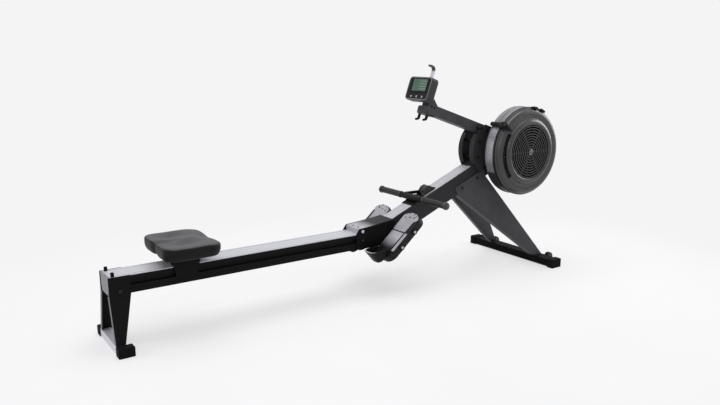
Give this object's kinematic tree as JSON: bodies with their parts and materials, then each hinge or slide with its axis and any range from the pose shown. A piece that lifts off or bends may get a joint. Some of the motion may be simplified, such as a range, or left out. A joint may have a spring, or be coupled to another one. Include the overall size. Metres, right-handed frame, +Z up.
{
  "type": "rowing machine",
  "caption": "Indoor rowing machine: sliding seat on a long rail, sloping boom, footboards, pull handle on a chain, round fan flywheel in a perforated drum, and a tilting monitor on an arm.",
  "frame": {"origin": "on the floor, in the middle of the machine's length and of its front floor bar's width", "axes": "+X forward along the rail towards the fan, +Y to the rower's left, +Z up"},
  "size_m": [2.323, 0.61, 1.0446],
  "materials": {
    "dark_paint": "satin near-black powder coat",
    "charcoal_paint": "satin charcoal powder coat",
    "track_silver": "fine lengthwise brushing",
    "end_silver": "satin",
    "drum_silver": "perforated, satin",
    "rotor_metal": "cast, satin",
    "rubber_black": "matt",
    "wheel_rubber": "matt",
    "grip_rubber": "matt, ribbed",
    "cord_rubber": "woven sleeve",
    "black_plastic": "matt black",
    "heel_plastic": "pale tread, dark cup",
    "pad_grey": "fine textured pale grey",
    "cover_plastic": "satin charcoal",
    "monitor_plastic": "satin near-black",
    "button_plastic": "pale grey",
    "screen_glass": "green-grey display",
    "handle_metal": "satin black",
    "steel": "plain steel",
    "seat_foam": "moulded foam, fine grain"
  },
  "bodies": {
    "frame": {"rail_beam": "dark_paint", "rail_track": "track_silver", "rail_end_plate": "end_silver", "seat_stops": "rubber_black", "rear_leg_right": "dark_paint", "rear_leg_left": "dark_paint", "rear_floor_bar": "dark_paint", "front_floor_bar": "dark_paint", "floor_caps": "rubber_black", "boom": "charcoal_paint", "boom_strip": "track_silver", "junction_plate_left": "dark_paint", "junction_plate_right": "dark_paint", "junction_cover": "track_silver", "front_leg_left": "charcoal_paint", "front_leg_right": "charcoal_paint", "footboard_left": "black_plastic", "footboard_right": "black_plastic", "toe_pad_left": "pad_grey", "toe_pad_right": "pad_grey", "drive_plate_left": "charcoal_paint", "drive_plate_right": "charcoal_paint", "axle_bearings": "steel", "fan_back_plate": "black_plastic", "fan_drum": "drum_silver", "fan_cover": "cover_plastic", "fan_grille": "black_plastic", "monitor_arm": "charcoal_paint", "arm_bracket": "black_plastic", "chain_guide": "black_plastic", "handle_rest": "black_plastic", "frame_bolts": "steel", "drive_chain": "steel", "return_cord": "cord_rubber"},
    "seat": {"seat_pad": "seat_foam", "seat_carriage": "dark_paint"},
    "rollers_front": {"seat_rollers_front": "black_plastic"},
    "rollers_rear": {"seat_rollers_rear": "black_plastic"},
    "rollers_under": {"under_rollers": "black_plastic"},
    "handle": {"handle_bar": "handle_metal", "handle_grips": "grip_rubber", "handle_yoke": "black_plastic"},
    "guide_wheel": {"guide_roller": "black_plastic"},
    "chain_wheel": {"sprocket": "steel"},
    "front_pulley": {"cord_pulley_front": "black_plastic"},
    "rear_pulley": {"cord_pulley_rear": "black_plastic"},
    "flywheel": {"fan_rotor": "rotor_metal", "fan_axle": "steel"},
    "damper_ring": {"damper": "black_plastic"},
    "monitor": {"monitor_case": "monitor_plastic", "monitor_screen": "screen_glass"},
    "key_left": {"button_left": "button_plastic"},
    "key_middle": {"button_middle": "button_plastic"},
    "key_right": {"button_right": "button_plastic"},
    "hook": {"upper_hook": "black_plastic"},
    "heel_right": {"heel_rest_right": "heel_plastic"},
    "heel_left": {"heel_rest_left": "heel_plastic"},
    "wheel_right": {"transport_wheel_right": "wheel_rubber"},
    "wheel_left": {"transport_wheel_left": "wheel_rubber"}
  },
  "joints": [
    {"name": "seat_slide", "type": "slide", "parent": "frame", "child": "seat", "axis": [1, 0, 0], "range_m": [-0.214, 0.747]},
    {"name": "rollers_front_turn", "type": "hinge", "parent": "seat", "child": "rollers_front", "pos_m": [-0.8135, 0, 0.30305], "axis": [0, 1, 0], "continuous": true},
    {"name": "rollers_rear_turn", "type": "hinge", "parent": "seat", "child": "rollers_rear", "pos_m": [-0.8975, 0, 0.30305], "axis": [0, 1, 0], "continuous": true},
    {"name": "rollers_under_turn", "type": "hinge", "parent": "seat", "child": "rollers_under", "pos_m": [-0.8555, 0, 0.2557], "axis": [0, -1, 0], "continuous": true},
    {"name": "handle_pull", "type": "slide", "parent": "frame", "child": "handle", "axis": [-0.9863, 0, 0.165], "range_m": [0, 1.2], "stiffness_N_per_m": 30, "springref_m": -0.5, "deforming": ["drive_chain", "return_cord"]},
    {"name": "guide_turn", "type": "hinge", "parent": "frame", "child": "guide_wheel", "pos_m": [0.40619, 0, 0.43337], "axis": [0, 1, 0], "continuous": true},
    {"name": "chain_wheel_turn", "type": "hinge", "parent": "frame", "child": "chain_wheel", "pos_m": [0.9355, 0, 0.605], "axis": [0, -1, 0], "continuous": true},
    {"name": "front_pulley_turn", "type": "hinge", "parent": "frame", "child": "front_pulley", "pos_m": [0.09837, 0, 0.2485], "axis": [0, 1, 0], "continuous": true},
    {"name": "rear_pulley_turn", "type": "hinge", "parent": "frame", "child": "rear_pulley", "pos_m": [-1.0895, 0, 0.2495], "axis": [0, 1, 0], "continuous": true},
    {"name": "fan_spin", "type": "hinge", "parent": "frame", "child": "flywheel", "pos_m": [0.9355, 0, 0.605], "axis": [0, -1, 0], "continuous": true},
    {"name": "damper_turn", "type": "hinge", "parent": "frame", "child": "damper_ring", "pos_m": [0.9355, 0, 0.605], "axis": [0, -1, 0], "range_deg": [0, 62]},
    {"name": "monitor_tilt", "type": "hinge", "parent": "frame", "child": "monitor", "pos_m": [0.4108, 0, 0.89412], "axis": [0, 1, 0], "range_deg": [-18, 18]},
    {"name": "key_left_press", "type": "slide", "parent": "monitor", "child": "key_left", "axis": [0.9397, 0, -0.342], "range_m": [0, 0.0015], "stiffness_N_per_m": 300},
    {"name": "key_middle_press", "type": "slide", "parent": "monitor", "child": "key_middle", "axis": [0.9397, 0, -0.342], "range_m": [0, 0.0015], "stiffness_N_per_m": 300},
    {"name": "key_right_press", "type": "slide", "parent": "monitor", "child": "key_right", "axis": [0.9397, 0, -0.342], "range_m": [0, 0.0015], "stiffness_N_per_m": 300},
    {"name": "hook_lift", "type": "slide", "parent": "monitor", "child": "hook", "axis": [0.342, 0, 0.9397], "range_m": [0, 0.03], "stiffness_N_per_m": 120, "springref_m": -0.02},
    {"name": "heel_right_shift", "type": "slide", "parent": "frame", "child": "heel_right", "axis": [0.7547, 0, 0.6561], "range_m": [-0.03, 0.0047]},
    {"name": "heel_left_shift", "type": "slide", "parent": "frame", "child": "heel_left", "axis": [0.7547, 0, 0.6561], "range_m": [-0.03, 0.0047]},
    {"name": "wheel_right_turn", "type": "hinge", "parent": "frame", "child": "wheel_right", "pos_m": [1.1065, -0.198, 0.026], "axis": [0, 1, 0], "continuous": true},
    {"name": "wheel_left_turn", "type": "hinge", "parent": "frame", "child": "wheel_left", "pos_m": [1.1065, 0.198, 0.026], "axis": [0, 1, 0], "continuous": true}
  ],
  "couplings": [
    {"joint": "rollers_front_turn", "follows": "seat_slide", "rad_per_m": 62.5},
    {"joint": "rollers_rear_turn", "follows": "seat_slide", "rad_per_m": 62.5},
    {"joint": "rollers_under_turn", "follows": "seat_slide", "rad_per_m": 111.11},
    {"joint": "guide_turn", "follows": "handle_pull", "rad_per_m": 34.13},
    {"joint": "chain_wheel_turn", "follows": "handle_pull", "rad_per_m": 35.336},
    {"joint": "front_pulley_turn", "follows": "handle_pull", "rad_per_m": -51.813},
    {"joint": "rear_pulley_turn", "follows": "handle_pull", "rad_per_m": -49.261}
  ]
}
